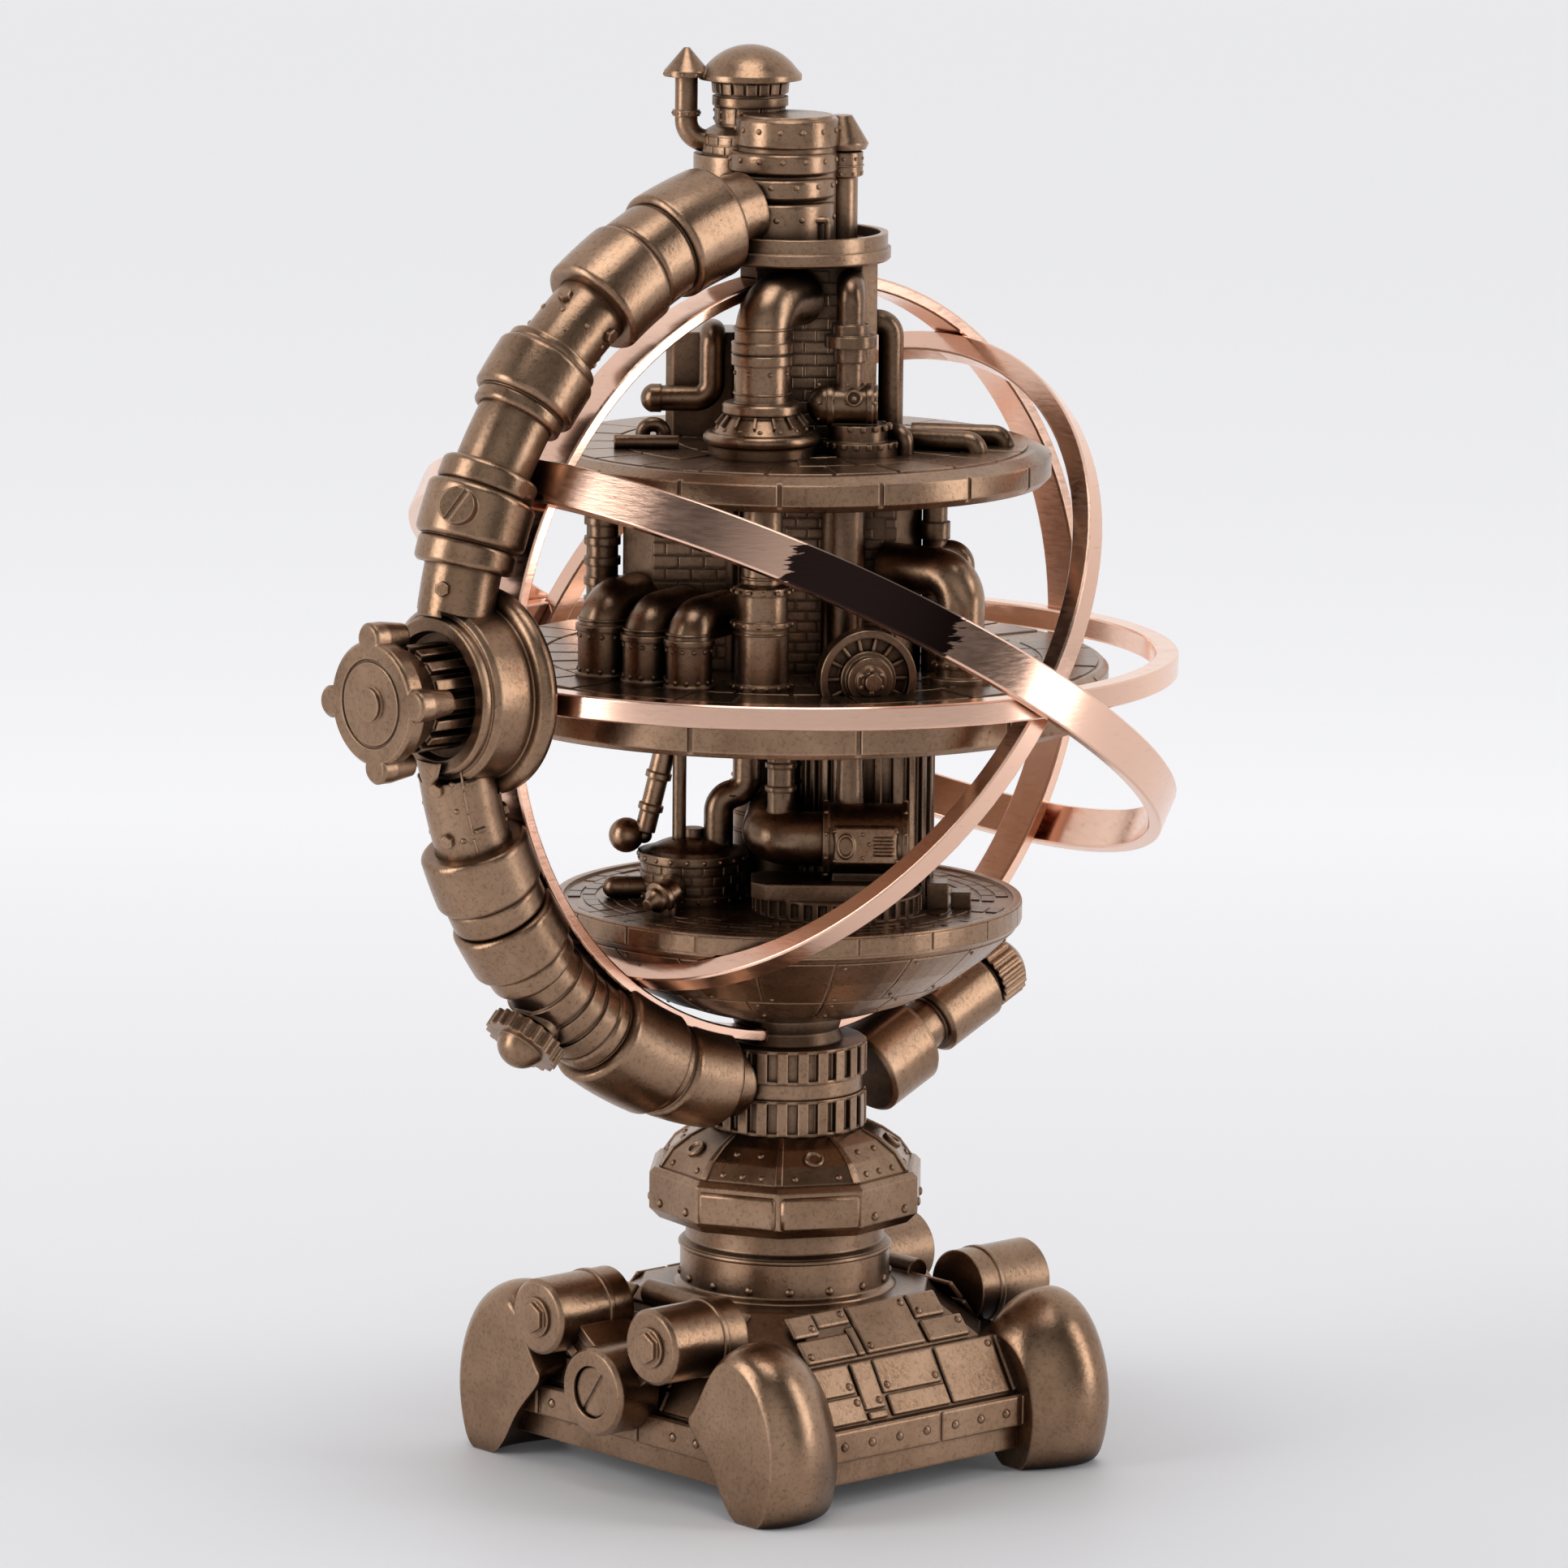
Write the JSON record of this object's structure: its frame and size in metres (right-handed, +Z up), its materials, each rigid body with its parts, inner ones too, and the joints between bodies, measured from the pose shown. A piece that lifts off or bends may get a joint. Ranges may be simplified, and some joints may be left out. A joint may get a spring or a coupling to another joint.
{
  "type": "gyroscope on stand",
  "caption": "Desk gyroscope sculpture: bronze machine city inside a cage of copper rings, held by a C-shaped pipe arm on a geared stem over a square footed base.",
  "frame": {"origin": "centre of the stand at the level of the four foot soles", "axes": "+Z up; the C-shaped arm and its hub lie in the XZ plane with the hub at -X; the short arm points to +X"},
  "size_m": [0.1899, 0.166, 0.2894],
  "materials": {
    "bronze": "aged dark bronze, rubbed bright on the edges",
    "copper": "polished rose copper",
    "solder": "satin copper solder"
  },
  "bodies": {
    "stand": {"base_plinth": "bronze", "lower_housing": "bronze", "upper_housing": "bronze", "foot_front_left": "bronze", "foot_front_right": "bronze", "foot_rear_left": "bronze", "foot_rear_right": "bronze", "side_drums": "bronze", "centre_drums": "bronze", "link_arms": "bronze", "hex_nuts": "bronze", "slotted_screws": "bronze", "neck_ring": "bronze", "decagon_collar": "bronze", "dome_cover": "bronze", "lower_gear": "bronze"},
    "frame": {"stem_collar": "bronze", "upper_gear": "bronze", "stem_neck": "bronze", "arm_pipes": "bronze", "crown_collar": "bronze", "shoulder_collar": "bronze", "screw_collar": "bronze", "lower_collar": "bronze", "middle_collar": "bronze", "ribbed_sleeve": "bronze", "elbow_collar": "bronze", "hub_drum": "bronze", "short_arm": "bronze", "meridian_ring": "copper", "leaning_ring": "copper", "wide_ring": "copper", "equator_ring": "copper", "solder_pads": "solder", "bowl": "bronze", "boiler": "bronze", "bowl_towers": "bronze", "fluted_plinth": "bronze", "condenser": "bronze", "exhaust_elbow": "bronze", "bowl_pipes": "bronze", "mid_deck": "bronze", "mid_tanks": "bronze", "mid_column": "bronze", "flywheel": "bronze", "mid_hall": "bronze", "mid_pipes": "bronze", "big_elbow": "bronze", "upper_platform": "bronze", "upper_tower": "bronze", "upper_pipes": "bronze", "funnel": "bronze", "valve_boiler": "bronze", "cap_tray": "bronze", "banded_turret": "bronze", "tall_tower": "bronze", "small_turret": "bronze"},
    "hand_wheel": {"hand_wheel": "bronze"},
    "thumbscrew": {"thumbscrew": "bronze"},
    "end_knob": {"end_knob": "bronze"}
  },
  "joints": [
    {"name": "frame_swivel", "type": "hinge", "parent": "stand", "child": "frame", "pos_m": [0, 0, 0.077], "axis": [0, 0, 1], "continuous": true},
    {"name": "hand_wheel_turn", "type": "hinge", "parent": "frame", "child": "hand_wheel", "pos_m": [-0.0944, 0, 0.1674], "axis": [-1, 0, 0], "continuous": true},
    {"name": "thumbscrew_turn", "type": "hinge", "parent": "frame", "child": "thumbscrew", "pos_m": [-0.06832, 0, 0.09776], "axis": [-0.6921, 0, -0.7218], "continuous": true},
    {"name": "end_knob_turn", "type": "hinge", "parent": "frame", "child": "end_knob", "pos_m": [0.05337, 0, 0.09187], "axis": [0.9114, 0, 0.4115], "continuous": true}
  ]
}
